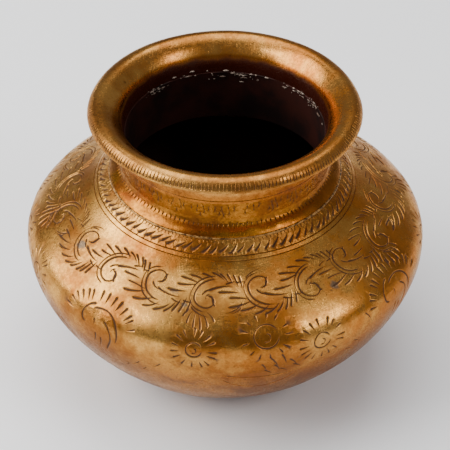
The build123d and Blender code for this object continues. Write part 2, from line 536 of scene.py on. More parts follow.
# %% [markdown]
# Sheets meet in rings of points.  Where two sheets share a ring, its points are read from one
# and handed to the other; where two rings differ, a band of triangles is found between them.

# %% Rings where sheets meet
def ring_of(where, flat, level):
    """Points of a sheet that lie on one level, from the back seam round to the back seam."""
    on = np.flatnonzero(np.abs(flat[:, 1] - level) < 1e-3)
    on = on[np.argsort(flat[on, 0])]
    return where[on], flat[on, 0]


def zipper(ring_one, across_one, ring_two, across_two):
    """Triangles between two rings whose points stand at different angles."""
    low = np.column_stack([across_one, np.zeros(len(across_one))])
    high = np.column_stack([across_two, np.full(len(across_two), 3.0)])
    flat = np.vstack([low, high])
    found = delaunay_2d_cdt([Vector(p) for p in flat.tolist()], [], [], 0, 1e-6)
    order = np.array([first[0] for first in found[3]])
    triangles = order[np.array(found[2])]
    return np.vstack([ring_one, ring_two]), triangles


trial_across = np.linspace(-3.0, 3.0, 7)
trial_ring = np.column_stack([trial_across, 0 * trial_across, 0 * trial_across])
trial_band = zipper(trial_ring, trial_across, trial_ring[::2], trial_across[::2])[1]
print("seven points and four are joined by", len(trial_band), "triangles")

# %% [markdown]
# A real vessel has an outside, an inside and edges where they meet, so each piece is joined
# from a few sheets whose border rings share their points.  The joined mesh keeps its worked
# out normals, a texture place for each face, and four marks at each point that say how much it
# is cut, how crowded with cuts, how tarnished and darkened by painted shade, and how stained
# grey.  The materials read these marks, so that dirt lies exactly in the cuts.

# %% Sheets and what is kept on them
MARKS = ("cut", "soil", "tarnish_and_shade", "grey")


def sheet(where, triangles, corners, flat, tint=0, marks=None, room=(0.0, 0.0, 1.0, 1.0)):
    """One sheet of a piece: points, faces, normals, paint number, marks and texture room."""
    share = flat - flat.min(axis=0)
    share = share / np.maximum(share.max(axis=0), 1e-9)
    texture = np.array(room[:2]) + share * np.array(room[2:])
    marks = marks or {}
    blank = np.zeros(len(where))
    return {
        "where": where, "faces": triangles, "corners": corners, "texture": texture, "tint": tint,
        **{key: marks.get(key, blank) for key in MARKS},
    }


trial = sheet(np.zeros((3, 3)), np.array([[0, 1, 2]]), np.zeros((1, 3, 3)), np.eye(3)[:, :2])
print("a sheet keeps", sorted(trial))

# %% [markdown]
# Joining gives points at the same place one number, so that the sheets become one closed skin,
# and drops the faces that this squeezes to nothing.  Every edge then has to have two faces: the
# report prints how many do not.

# %% Joining sheets into a closed piece
CELLS_PER_MM = 2e3


def weld(points):
    """Give points at the same place one number."""
    cells = np.round(points * CELLS_PER_MM).astype(np.int64)
    _, first, number = np.unique(cells, axis=0, return_index=True, return_inverse=True)
    return first, number.ravel()


def report(name, points, faces):
    """Print size, openness and volume of a piece."""
    edges = np.vstack([faces[:, [0, 1]], faces[:, [1, 2]], faces[:, [2, 0]]])
    uses = np.unique(np.sort(edges, axis=1), axis=0, return_counts=True)[1]
    a, b, c = points[faces[:, 0]], points[faces[:, 1]], points[faces[:, 2]]
    volume = (a * np.cross(b, c)).sum() / 6000
    print(name, len(points), "points", len(faces), "faces", int((uses != 2).sum()), "open edges",
          round(float(volume), 2), "cubic cm")


def new_mesh(name, points, faces, tint, texture):
    """A mesh in metres with smooth faces, their paint numbers and their texture places."""
    mesh = bpy.data.meshes.new(name)
    mesh.from_pydata((points * MM).tolist(), [], faces.tolist())
    mesh.polygons.foreach_set("use_smooth", np.ones(len(faces), bool))
    mesh.polygons.foreach_set("material_index", tint.astype(np.int32))
    layer = mesh.uv_layers.new(name="OFBake")
    layer.data.foreach_set("uv", texture.reshape(-1).astype(np.float32))
    return mesh


def build(name, sheets, materials):
    """Join sheets into one closed mesh with its normals, marks and texture places."""
    sizes = np.cumsum([0] + [len(s["where"]) for s in sheets])
    points = np.vstack([s["where"] for s in sheets])
    faces = np.vstack([s["faces"] + o for s, o in zip(sheets, sizes)])
    corners = np.vstack([s["corners"] for s in sheets])
    texture = np.vstack([s["texture"] for s in sheets])[faces]
    tint = np.concatenate([np.full(len(s["faces"]), s["tint"]) for s in sheets])
    first, number = weld(points)
    welded = number[faces]
    sound = (welded != np.roll(welded, 1, axis=1)).all(axis=1)
    mesh = new_mesh(name, points[first], welded[sound], tint[sound], texture[sound])
    for key in MARKS:
        values = np.concatenate([s[key] for s in sheets])[first].astype(np.float32)
        mesh.attributes.new(key, "FLOAT", "POINT").data.foreach_set("value", values)
    for material in materials:
        mesh.materials.append(material)
    mesh.update()
    mesh.normals_split_custom_set(unit(corners[sound].reshape(-1, 3)).tolist())
    piece = bpy.data.objects.new(name, mesh)
    bpy.context.collection.objects.link(piece)
    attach(piece, "root")
    report(name, points[first], welded[sound])
    return piece


print("points nearer than", 1 / CELLS_PER_MM, "mm are joined")

# %% [markdown]
# The inside, the base and the joints are plain.  A plain sheet is an outline carried round the
# axis, with points closer together where its stretches are short.

# %% Plain turned sheets
def turned_sheet(curves, across, scale, tint=1, first=None, last=None, room=(0, 0, 1, 1), step=3.0):
    """A plain sheet: an outline of straight and curved stretches carried round the axis."""
    shape = outline(curves)
    shape["scale"] = scale
    lengths = [np.linalg.norm(np.diff(c, axis=0), axis=1).sum() + CORNER_GAP for c in curves]
    ends = np.cumsum([0.0] + lengths)
    stops = []
    for start, end in zip(ends[:-1], ends[1:]):
        count = max(2, int((end - start) / step) + 2)
        stops.append(np.linspace(start, end - CORNER_GAP, count))
    measures = np.concatenate(stops)
    flat, triangles = grid_sheet(across, measures)
    where, corners = set_on(shape, flat, triangles, first=first, last=last)
    return sheet(where, triangles, corners, flat, tint, room=room)


trial = turned_sheet(straight((5.0, 0.0), (5.0, 6.0)), np.linspace(-5.0, 5.0, 5), 5.0)
print("a plain sheet 6 high has", len(trial["faces"]), "faces")

# %% [markdown]
# The belly carries three bands.  Round the collar runs a row of slanted leaves between two
# scribed lines, with rows of small dots.  Below it a scroll repeats about twenty times, turned
# over at every other place so that the scrolls lock together.  Under that is a looser band of
# large curled stems and small suns.  The hand that cut it was quick and never quite even, so
# widths, lengths and places are shaken a little.  The drawing is open at the pot's back.  The
# collar comes first.

# %% The collar band
BACK = math.pi
HALF_TURN = BACK * DRAWING_RADIUS
COLLAR_LEAVES = 90
COLLAR_DOTS = 190


def collar_band():
    """Slanted leaves, a dotted row under the neck, and stippling among the leaves."""
    count = COLLAR_LEAVES
    x = (np.arange(count) + 0.5) * 2 * HALF_TURN / count - HALF_TURN
    tips = np.column_stack([x, np.full(count, 45.4)]) + rng.normal(0, 0.3, (count, 2))
    roots = tips + np.column_stack([rng.normal(4.6, 0.5, count), rng.normal(4.8, 0.4, count)])
    leaves = leaf_cuts(tips, roots, rng.normal(-0.4, 0.15, count), rng.uniform(2.4, 3.2, count), 7)
    dots_across = (np.arange(COLLAR_DOTS) + 0.5) * 2 * HALF_TURN / COLLAR_DOTS - HALF_TURN
    row = np.column_stack([dots_across, 51.6 + rng.normal(0, 0.12, COLLAR_DOTS)])
    sparse = dots_across[::2] + 0.9
    low_row = np.column_stack([sparse, 44.3 + rng.normal(0, 0.15, len(sparse))])
    loose = np.column_stack([rng.uniform(-HALF_TURN, HALF_TURN, 260), rng.uniform(45.0, 50.4, 260)])
    apart = groove_depth(loose, [cuts(leaves["line"], leaves["half"] + 0.7)]) < 1e-6
    return [leaves, dot_cuts(row, 0.42), dot_cuts(low_row, 0.36), dot_cuts(loose[apart], 0.27)]


collar_cuts = collar_band()
print("the collar has", [len(c["line"]) for c in collar_cuts], "cuts")

# %% [markdown]
# A scroll is a hooked stem drawn as two lines side by side, with leaf strokes combed along its
# outer edge.  One scroll is drawn once, as points round its own middle, and set down twenty
# times round the pot, upright and turned over in turn.

# %% The scroll band
SCROLLS = 20
SCROLL_STEP = 2 * HALF_TURN / SCROLLS
FIRST_SCROLL = 14.5
UPRIGHT_LEVEL, TURNED_LEVEL = 27.0, 22.4
SCROLL_STEM = [(0, -0.5), (2.5, 0.2), (3.7, 2), (3, 4), (0.5, 5), (-2.5, 4), (-4.5, 1.5),
               (-4.3, -2), (-2.5, -5.2), (1, -7.4), (4.5, -8)]
LEAF_TIPS = [(1, -2.2), (5.2, -2.3), (9, 0.8), (9, 4.6), (13.5, 6.2), (19, 7.6), (23.5, 8.2),
             (27.5, 8.3), (31, 8), (33.5, 7.6), (36.5, 7)]
LEAF_ROOTS = [(12, -4.7), (13, -2), (17, 1.8), (17, 2.6), (20, 4.2), (24, 5.2), (28.5, 5),
              (31.5, 3.6), (34, 1.5), (36, 0), (38, -1)]
LEAF_BOWS = [-0.9, -0.3, -0.5, 0.5, 0.7, 0.8, 0.8, 0.6, 0.4, 0.3, 0.2]
LEAF_REACH = [1.0, 1.2, 1.15, 1.3, 1.35, 1.4, 1.3, 1.1, 1.0, 0.95, 0.9]


def outside_of(stem, centre, gap):
    """The same stem moved outward from a centre by a gap, for the second line beside it."""
    stem, centre = np.array(stem, float), np.array(centre, float)
    away = stem - centre
    return stem + gap * away / np.linalg.norm(away, axis=1, keepdims=True)


def scroll_band():
    """Twenty locked scrolls, every second one turned over, each shaken a little."""
    sets = []
    for k in range(SCROLLS):
        over = k % 2
        flip = -1.0 if over else 1.0
        level = TURNED_LEVEL if over else UPRIGHT_LEVEL
        across = FIRST_SCROLL + k * SCROLL_STEP + rng.normal(0, 0.7)
        centre = (across, level + rng.normal(0, 0.4))
        size = rng.uniform(0.95, 1.04)
        widths = rng.uniform(1.45, 1.95, len(LEAF_TIPS))
        tips = np.array(LEAF_TIPS, float)
        reach = np.reshape(LEAF_REACH, (-1, 1)) * rng.uniform(0.92, 1.08, (len(tips), 1))
        roots = tips + reach * (np.array(LEAF_ROOTS) - tips)
        leaves = leaf_cuts(tips, roots, LEAF_BOWS, widths)
        sets.append(placed(leaves, centre, flip, size, 0.18))
        sets.append(placed(scroll_cuts([SCROLL_STEM], 1.3), centre, flip, size))
        second = outside_of(SCROLL_STEM[4:], (1.0, -1.0), rng.uniform(1.5, 1.9))
        sets.append(placed(scroll_cuts([second], 0.9), centre, flip, size))
        inner = leaf_cuts([(4.4, 4.4), (-1.6, -0.4)], [(2.6, -0.9), (3.4, -3.6)],
                          [-0.6, -0.8], [1.2, 1.5])
        sets.append(placed(inner, centre, flip, size, 0.1))
        if over:
            hook = scroll_cuts([[(0.2, 1.5), (0.4, -0.3), (2, -1.2)]], 0.7)
            sets.append(placed(hook, centre, flip, size))
        if k % 4 in (0, 3):
            brow = leaf_cuts([(-5.5, 4.6)], [(2.8, 8.6)], [1.0], [1.2])
            sets.append(placed(brow, centre, flip, size))
        between = leaf_cuts([(8.2, -5.8), (13.0, -6.0)], [(13.5, -7.2), (17.5, -6.2)],
                            [-0.3, -0.3], [1.2, 1.1])
        sets.append(placed(between, centre, flip, size, 0.15))
    return sets


scroll_sets = scroll_band()
print("the scroll band has", sum(len(c["line"]) for c in scroll_sets), "cuts")

# %% [markdown]
# The lower band is built from four motifs: a big curled stem with a comb of strokes, a sun with
# straight rays, a fan hung under the scrolls, and a spray of leaves over a boat-shaped outline.

# %% Motifs of the lower band
STEM_ONE = [(-3.2, 5), (-1, 6), (2.5, 6.3), (5.5, 4.8), (7.4, 2), (8, -1.5), (7.2, -5)]
STEM_TWO = [(-2.5, 7.3), (-5, 6), (-7, 3), (-6.8, 0), (-5, -1.3)]
STEM_THREE = [(2, 2.7), (4, 1), (5.2, -1.5), (5.2, -4.5), (4, -7.5), (2.7, -10.5)]
SUN_COMMA = [(-0.9, -1.4), (0.6, -1.2), (0.9, 0.3), (-0.2, 0.8)]


def spokes(turn):
    """Directions of length one at the given turns."""
    return np.column_stack([np.cos(turn), np.sin(turn)])


def curled_stem(centre, size):
    """A big curled stem with a comb of short strokes standing round its head."""
    reach = spokes(np.radians(np.linspace(172, 18, 14) + rng.normal(0, 2.0, 14)))
    inner, outer = reach * [14.0, 9.6] * 0.82, reach * [15.5, 13.0]
    comb = leaf_cuts(outer, inner, np.full(14, 0.12), rng.uniform(1.4, 1.9, 14), 6)
    inside = leaf_cuts([(-1.3, -3), (1.2, -4.5), (-1.7, 2.5)],
                       [(-3, -9.3), (-0.5, -10.5), (-1.8, -0.7)], [0.5, 0.5, 0.3], [1.4, 1.4, 1.0])
    parts = [comb, inside]
    parts += [scroll_cuts([stem], 1.3) for stem in (STEM_ONE, STEM_TWO, STEM_THREE)]
    return [placed(part, centre, 1.0, size, 0.1) for part in parts]


def sun(centre, ring, near, far, rays):
    """A ring with a comma in it and straight rays round it."""
    turn = np.linspace(0, 2 * np.pi, rays, endpoint=False) + rng.normal(0, 0.06, rays)
    reach = spokes(turn)
    rayed = leaf_cuts(reach * far, reach * near, np.zeros(rays), rng.uniform(1.25, 1.7, rays), 6)
    circle = scroll_cuts([spokes(np.linspace(0.3, 0.3 + 1.93 * np.pi, 13)) * ring], 1.1, 2)
    comma = scroll_cuts([np.array(SUN_COMMA) * ring / 3.1], 0.8)
    return [placed(rayed, centre, wobble=0.12), placed(circle, centre), placed(comma, centre)]


def spray(centre, size):
    """A loose spray of leaf cuts leaning to the right, and the outline of a boat-shaped leaf."""
    tips = [(0, 0), (1.5, -3.5), (3.5, -6.5), (4, 1), (6.5, -2), (8, -5), (-3, -2.5), (-2, -6)]
    roots = [(3, -5), (4, -8), (7, -9.5), (6, -4.5), (9.5, -6), (12, -8.5), (-1, -7), (1.5, -9.5)]
    leaves = leaf_cuts(tips, roots, [0.3] * 8, [1.5, 1.4, 1.3, 1.5, 1.4, 1.3, 1.2, 1.2])
    top = [(-16, -8.5), (-10, -9.8), (-4, -10.4), (3, -10.4), (9, -10)]
    bottom = [(-16.5, -11), (-13, -15), (-7, -18), (0, -18.8), (6, -15.5), (10, -11)]
    parts = [leaves, scroll_cuts([top], 0.9), scroll_cuts([bottom], 0.95)]
    return [placed(part, centre, 1.0, size, 0.1) for part in parts]


def hanging_fan(centre, size):
    """A fan of curved strokes hung under the scrolls, with two arcs beside it."""
    tips = [(-7.4, 0.8), (-5.2, -1.6), (-2.6, -3.2), (0.2, -3.6), (3.0, -2.4), (5.2, -0.2)]
    roots = [(-4.6, 4.4), (-3.4, 4.0), (-2.2, 3.8), (-1.0, 3.6), (0.4, 3.8), (1.6, 4.2)]
    strokes = leaf_cuts(tips, roots, [0.5, 0.5, 0.3, -0.3, -0.6, -0.7], [1.4, 1.5, 1.6, 1.6, 1.5, 1.3])
    arcs = leaf_cuts([(17.0, 8.6), (16.4, 6.4)], [(8.6, 3.6), (11.4, 3.6)], [1.2, 0.7], [1.3, 1.2])
    return [placed(strokes, centre, 1.0, size, 0.12), placed(arcs, centre, 1.0, size, 0.12)]


print("the stems have", [len(stem) for stem in (STEM_ONE, STEM_TWO, STEM_THREE)], "points")

# %% [markdown]
# The motifs are set down at places across and up in the drawing's units, with the front of the
# pot at nought.  A few stray strokes fill the gaps, as the engraver filled them.

# %% The lower band
FAN_PLACES = (-9.0, 79.0, -100.0, 123.0, -145.0, 167.0, -189.0)
STEM_PLACES = (-46.0, 70.0, 160.0, -136.0)
FRONT_SPRAY = 15.0
BACK_SPRAYS = (-70.0, 96.0, 136.0, -162.0)
SUNS = (
    (-10.5, 2.8, 2.7, 4.4, 8.2, 15), (14.3, 7.2, 4.4, 6.0, 8.6, 13), (33.8, 1.0, 3.1, 4.8, 9.0, 16),
    (-84.0, 1.0, 3.0, 4.8, 8.6, 16), (104.0, 2.0, 3.0, 4.8, 8.6, 15), (128.0, 1.0, 3.6, 5.2, 9.0, 16),
    (-108.0, 3.0, 3.1, 4.6, 8.4, 15), (-172.0, 1.5, 3.2, 4.8, 8.6, 16), (196.0, 2.0, 3.0, 4.6, 8.4, 15),
)


def lower_band():
    """Curled stems and suns in turn, with sprays between them and fans above."""
    sets = []
    for x in FAN_PLACES:
        sets += hanging_fan((x, 13.2), rng.uniform(0.9, 1.0))
    for x in STEM_PLACES:
        sets += curled_stem((x, 2.0), rng.uniform(0.95, 1.05))
    for x, y, ring, near, far, rays in SUNS:
        sets += sun((x, y), ring, near, far, rays)
    sets += spray((FRONT_SPRAY, -1.0), 1.0)
    for x in BACK_SPRAYS:
        sets += spray((x, -8.0), 0.85)
    strays = leaf_cuts(
        [(-30, -8), (-28, -11), (-35, -12), (44, -9), (47, -6), (-22, -6), (52, 4)],
        [(-34, -12), (-31, -14.5), (-37, -14.5), (49, -12), (51, -9), (-26, -10), (55, -1)],
        [0.3] * 7, [1.1] * 7)
    return sets + [strays]


belly_cuts = [wrapped(c, HALF_TURN) for c in collar_cuts + scroll_sets + lower_band()]
SCRIBED = ((40.7, 0.30), (43.2, 0.34))
print(sum(len(c["line"]) for c in belly_cuts), "cuts on the belly")

# %% [markdown]
# A pot that has been knocked about has shallow, soft dents.  They matter for the looks, since
# polished brass shows every change of slope as a bend in its highlights.  Each dent is given by
# its place across and up, its two widths and its depth.

# %% Dents
DENTS = ((14.0, 6.0, 7.5, 5.5, -0.55), (-62.0, 12.0, 22.0, 9.0, -0.30), (38.0, 12.0, 12.0, 7.0, -0.32),
         (-20.0, -14.0, 26.0, 9.0, -0.30), (52.0, -16.0, 20.0, 10.0, -0.34), (-8.0, 14.0, 12.0, 5.0, -0.22),
         (84.0, 18.0, 18.0, 9.0, -0.25), (-100.0, -4.0, 20.0, 12.0, -0.35), (150.0, 6.0, 22.0, 11.0, -0.4),
         (-150.0, -2.0, 24.0, 12.0, -0.35), (0.0, 33.0, 24.0, 5.0, -0.15), (-46.0, 30.0, 14.0, 6.0, -0.18))


def belly_dent(x, y):
    """Sum of soft bell-shaped hollows, with a slow swell that closes on itself at the back."""
    total = 0.09 * np.sin(x / DRAWING_RADIUS * 7 + 0.05 * y) * np.sin(y / 9.0 + 1.0)
    total = total + 0.05 * np.sin(x / DRAWING_RADIUS * 17 + 1.3 + 0.1 * y) * np.sin(y / 5.0)
    for cx, cy, wide, tall, deep in DENTS:
        gap = (x - cx + HALF_TURN) % (2 * HALF_TURN) - HALF_TURN
        total = total + deep * np.exp(-((gap / wide) ** 2) - ((y - cy) / tall) ** 2)
    fade = np.clip((y - BELLY_FOOT) / 12.0, 0, 1) * np.clip((BELLY_HEAD - 4.0 - y) / 8.0, 0, 1)
    return (total - 0.1) * fade


print("the deepest dent is", min(row[-1] for row in DENTS), "mm")

# %% [markdown]
# Dirt and polish both follow the ornament.  Where cuts are crowded the rag never reaches, and
# the metal between them stays dull, so each place gets a number for how crowded it is.  A few
# small grey stains lie where solder was splashed.

# %% Soil and stains
STAINS = ((46.0, 18.5, 1.7), (-73.0, 23.0, 2.4), (-21.5, 24.0, 1.6), (-16.0, 19.0, 1.2))
SOIL_CELL = 1.5


def soil_map(cut_sets, half_turn, bottom, top):
    """How crowded the cuts are round each place, 0 to 1, blurred over a few millimetres."""
    places = np.vstack([c["line"].reshape(-1, 2) for c in cut_sets])
    shape = (int(2 * half_turn / SOIL_CELL) + 1, int((top - bottom) / SOIL_CELL) + 1)
    whole = ((-half_turn, half_turn), (bottom, top))
    count = np.histogram2d(places[:, 0], places[:, 1], bins=shape, range=whole)[0]
    for _ in range(3):
        count = (np.roll(count, 1, 0) + count + np.roll(count, -1, 0)) / 3
        count[:, 1:-1] = (count[:, :-2] + count[:, 1:-1] + count[:, 2:]) / 3
    full = np.quantile(count[count > 0.2], 0.85)

    def soil(flat):
        share_x = (flat[:, 0] + half_turn) / (2 * half_turn)
        share_y = (flat[:, 1] - bottom) / (top - bottom)
        ix = np.clip((share_x * shape[0]).astype(int), 0, shape[0] - 1)
        iy = np.clip((share_y * shape[1]).astype(int), 0, shape[1] - 1)
        return np.clip(count[ix, iy] / full, 0, 1)

    return soil


def spots_of(flat, spots):
    """Ragged little stains: 1 in the middle of each spot, falling to 0 past its radius."""
    total = np.zeros(len(flat))
    for x, y, radius in spots:
        far = np.hypot(flat[:, 0] - x, (flat[:, 1] - y) * 1.4) / radius
        total = np.maximum(total, np.clip(1.6 - far, 0, 1))
    return total


print("stain in the middle and just outside", spots_of(np.array([[46.0, 18.5], [49.0, 18.5]]), STAINS))

# %% [markdown]
# Now the belly is cut: one drawing for both halves, so that strokes run on across the joint.
# The two scribed lines are worn away a little left of the front, where hands have rubbed.

# %% Cutting the belly
FULLY_DIRTY = 0.22


def scribed_levels(scribed):
    """Both edges and the floor of each scribed line, as levels of the drawing."""
    return [level + side * half for level, half in scribed for side in (-1, 0, 1)]


def cut_depth(flat, cut_sets):
    """Depth of the cuts, worked out only near them, since it is nothing elsewhere."""
    near = occupied(np.vstack([c["line"].reshape(-1, 2) for c in cut_sets]), 2)(flat)
    depth = np.zeros(len(flat))
    depth[near] = groove_depth(flat[near], cut_sets)
    return depth


belly_flat, belly_faces = drawing(
    belly_cuts, [JOINT, *scribed_levels(SCRIBED)], HALF_TURN, BELLY_FOOT, BELLY_HEAD, 2.5, 2.2)
worn = 1 - 0.85 * np.exp(-(((belly_flat[:, 0] + 10) / 11) ** 2))
belly_depth = cut_depth(belly_flat, belly_cuts)
belly_depth = np.maximum(belly_depth, scribed_depth(belly_flat, SCRIBED, worn))
belly_marks = {
    "cut": np.clip(belly_depth / FULLY_DIRTY, 0, 1),
    "soil": soil_map(belly_cuts, HALF_TURN, BELLY_FOOT, BELLY_HEAD)(belly_flat),
    # Painted shade: the belly is darkened more and more below the keel.
    "tarnish_and_shade": 0.34 * np.clip((4.0 - belly_flat[:, 1]) / 20.0, 0, 1),
    "grey": spots_of(belly_flat, STAINS),
}
belly_where, belly_corners = set_on(BELLY, belly_flat, belly_faces, belly_dent, belly_depth)
upper_face = belly_flat[belly_faces][:, :, 1].mean(axis=1) > JOINT
print(len(belly_flat), "points", len(belly_faces), "faces in the belly drawing")


def part_of(chosen, room):
    """The chosen faces of the belly as a sheet."""
    faces = belly_faces[chosen]
    used, fresh = np.unique(faces, return_inverse=True)
    marks = {key: value[used] for key, value in belly_marks.items()}
    where, flat = belly_where[used], belly_flat[used]
    return sheet(where, fresh.reshape(-1, 3), belly_corners[chosen], flat, 0, marks, room)


# %% [markdown]
# The body is sheet brass of about a millimetre and a half, raised in two halves and lapped.
# The inside follows the outside at that distance.  The lower half has a spigot that stands
# inside the shoulder; the shoulder has the matching socket and a seat for the neck.

# %% Inside of the body
LAP_RADIUS = 79.1
INNER_RADIUS = 78.4
LOW_KEEL = (INNER_RADIUS, 56.0)
HIGH_KEEL = (INNER_RADIUS, 59.0)
FLOOR_EDGE = (38.0, 3.0)
SOCKET_BOTTOM = 86.0

collar_inside = tuple(polar(COLLAR, -WALL, 90.0 - COLLAR_SLOPE))
inner_low = bezier(FLOOR_EDGE, BASE_SLOPE, 17.2, LOW_KEEL, 90.0, 17.7)
inner_high = bezier(HIGH_KEEL, 90.0, 7.2, collar_inside, 180.0 - COLLAR_SLOPE, 12.5)

joint_ring, joint_across = ring_of(belly_where, belly_flat, JOINT)
foot_ring, foot_across = ring_of(belly_where, belly_flat, BELLY_FOOT)
head_ring, head_across = ring_of(belly_where, belly_flat, BELLY_HEAD)
joint_edge = (float(along(BELLY, "point", JOINT)[0]), JOINT_HEIGHT)
print("joint ring has", len(joint_ring), "points, radius", round(joint_edge[0], 2))

# %% [markdown]
# Each half is its cut sheet and the plain sheets that close it.  The border rings of the cut
# sheet are handed on, so that the plain sheets start and end in the very same points.

# %% Closing the lower half
spigot = straight(joint_edge, (LAP_RADIUS, JOINT_HEIGHT), (LAP_RADIUS, LAP_TOP),
                  (INNER_RADIUS, LAP_TOP), LOW_KEEL)
bowl_inside = turned_sheet(
    [*spigot, inner_low[::-1], *straight(FLOOR_EDGE, (0.0, FLOOR_EDGE[1]))],
    joint_across, DRAWING_RADIUS, first=joint_ring, room=(0, 0.62, 1, 0.3), step=6.0)
bowl_under = turned_sheet(
    straight((0.0, 1.0), (29.0, 1.0), (30.0, 0.0), (BASE_RADIUS, 0.0)),
    foot_across, DRAWING_RADIUS, tint=0, last=foot_ring, room=(0, 0.93, 1, 0.07))
lower_sheets = [part_of(~upper_face, (0, 0, 1, 0.6)), bowl_inside, bowl_under]
print("lower half has", [len(part["faces"]) for part in lower_sheets], "faces in its sheets")

# %% [markdown]
# The shoulder's inner edge at the lap has fewer points than its outer one.  A narrow ledge
# between the two is filled by a small triangulation of its own.

# %% Closing the shoulder
socket = turned_sheet(
    straight((LAP_RADIUS, LAP_TOP), (LAP_RADIUS, JOINT_HEIGHT), joint_edge),
    joint_across, DRAWING_RADIUS, last=joint_ring, room=(0, 0.92, 1, 0.03))
neck_seat = straight((SEAT_RADIUS, SEAT_HEIGHT), (NECK_RADIUS, SEAT_HEIGHT),
                     (NECK_RADIUS, SOCKET_BOTTOM), (44.0, SOCKET_BOTTOM), collar_inside)
shoulder_inside = turned_sheet(
    [*neck_seat, inner_high[::-1], *straight(HIGH_KEEL, (INNER_RADIUS, LAP_TOP))],
    head_across, DRAWING_RADIUS, first=head_ring, room=(0, 0.6, 1, 0.3), step=4.0)


def lap_ledge():
    """The ring-shaped ledge between the inside of the shoulder and its socket."""
    inner_edge = shoulder_inside["where"][-len(head_across) :]
    outer_edge = socket["where"][: len(joint_across)]
    where, faces = zipper(inner_edge, head_across, outer_edge, joint_across)
    side = np.repeat([0.0, 1.0], [len(head_across), len(joint_across)])
    flat = np.column_stack([np.concatenate([head_across, joint_across]), side])
    return sheet(where, faces, facing(where, faces), flat, 1, room=(0, 0.96, 1, 0.02))


shoulder_sheets = [part_of(upper_face, (0, 0, 1, 0.58)), shoulder_inside, socket, lap_ledge()]
print("shoulder has", [len(part["faces"]) for part in shoulder_sheets], "faces in its sheets")

# %% [markdown]
# The neck is a short tube that flares to a thin foot.  A punch left two rows of marks on it:
# small clusters like arrowheads, and under them a row of short upright dashes.  The lip is a
# heavy ring; its crest was nicked with a chisel all the way round, like the edge of a coin.

# %% Marks of the neck and the lip
NECK_HALF = BACK * NECK_RADIUS
LIP_HALF = BACK * LIP_DRAWING_RADIUS
ARROWS, DASHES, NICKS = 27, 140, 232
ARROW_LEVEL, DASH_LEVEL = 94.6, 90.4
ARROW = [(-3.2, 3.4), (-1.7, 1.9), (0, 0.4), (1.7, 1.9), (3.2, 3.4), (-1.1, 4.2), (1.1, 4.2)]


def places_round(count, half_turn):
    """Even places across a drawing, half a step in from its ends."""
    return (np.arange(count) + 0.5) * 2 * half_turn / count - half_turn


def neck_marks():
    """Arrowheads of dots, and a row of short upright dashes under them."""
    base = np.full(ARROWS, measure_at(NECK, ARROW_LEVEL))
    spots = np.column_stack([places_round(ARROWS, NECK_HALF), base])[:, None] + np.array(ARROW)
    spots = spots.reshape(-1, 2) + rng.normal(0, 0.3, (ARROWS * len(ARROW), 2))
    spots = spots[rng.random(len(spots)) > 0.12]
    across = places_round(DASHES, NECK_HALF)
    low = np.column_stack([across, measure_at(NECK, DASH_LEVEL) + 0.2 * np.sin(across / 6)])
    high = low + np.column_stack([rng.normal(0.15, 0.1, DASHES), rng.normal(1.9, 0.15, DASHES)])
    strokes = leaf_cuts(high, low, np.zeros(DASHES), rng.uniform(0.85, 1.1, DASHES), 5)
    return [wrapped(dot_cuts(spots, 0.4), NECK_HALF), wrapped(strokes, NECK_HALF)]


def lip_marks():
    """Chisel nicks over the crest of the lip, worn shallower at the front."""
    x = places_round(NICKS, LIP_HALF) + rng.normal(0, 0.12, NICKS)
    start, end = (float(np.interp(gone, *crest_measure())) for gone in (0.5, 4.5))
    lower = np.column_stack([x, start + rng.normal(0, 0.12, NICKS)])
    upper = np.column_stack([x + 0.15, end + rng.normal(0, 0.25, NICKS)])
    wide = rng.uniform(0.75, 1.05, NICKS) * (1 - 0.45 * np.exp(-(((x - 2) / 9) ** 2)))
    return [wrapped(leaf_cuts(lower, upper, np.zeros(NICKS), wide, 7), LIP_HALF)]


def crest_measure():
    """Distance gone round the crest, and the lip measure there."""
    gap = LIP["point"] - np.array(CREST)
    round_crest = np.abs(np.hypot(gap[:, 0], gap[:, 1]) - CREST_ROUNDING) < 1e-3
    on = round_crest & (LIP["point"][:, 1] > lip_corner[1] - 1e-6)
    turn = np.arctan2(gap[on, 1], gap[on, 0])
    return (turn - math.radians(CORNER_ANGLE)) * CREST_ROUNDING, LIP["at"][on]


neck_cuts, lip_cuts = neck_marks(), lip_marks()
print("the lip has", len(lip_cuts[0]["line"]), "nicks, the neck", len(neck_cuts[1]["line"]), "dashes")

# %% [markdown]
# Neck and lip are cut in the same way as the belly, each in a drawing of its own.  Their swell
# is even smaller than the belly's, because they were turned or cast.  The roll of the lip goes
# from polished to dark as it turns down into the throat.

# %% Cutting the neck and the lip
NECK_FOOT, NECK_HEAD = NECK["at"][0], NECK["at"][-1]
LIP_FOOT, LIP_HEAD = LIP["at"][0], LIP["at"][-1]
LIP_FULLY_DIRTY = 0.2


def lip_dent(x, y):
    """A lip that is very slightly uneven."""
    turn = x / LIP_DRAWING_RADIUS
    swell = 0.06 * np.sin(turn * 3 + 0.6) + 0.05 * np.sin(turn * 8 + 2.0) * np.sin(y / 3.0)
    return (swell - 0.12) * np.clip((y - LIP_FOOT) / 2, 0, 1) * np.clip((LIP_HEAD - y) / 2, 0, 1)


def neck_dent(x, y):
    """A neck that is very slightly uneven."""
    swell = 0.06 * np.sin(x / NECK_RADIUS * 4 + 1.1) * np.sin(y / 4.5)
    above_foot = np.clip((y - NECK_FOOT - 3) / 2, 0, 1)
    return (swell - 0.06) * above_foot * np.clip((NECK_HEAD - 5 - y) / 3, 0, 1)


def no_tarnish(y):
    """Clean all the way up."""
    return np.zeros(len(y))


def lip_tarnish_and_shade(y):
    """Painted shade low on the skirt under the lip, and tarnish more and more down into the throat."""
    down_throat = np.clip((y - LIP_HEAD + 11.5) / 7.0, 0, 1)
    # Painted shade on the skirt, under the overhang of the lip.
    shade_under_lip = 0.3 * np.clip((LIP_FOOT + 6.5 - y) / 3.0, 0, 1)
    return down_throat**2 * (3 - 2 * down_throat) + shade_under_lip


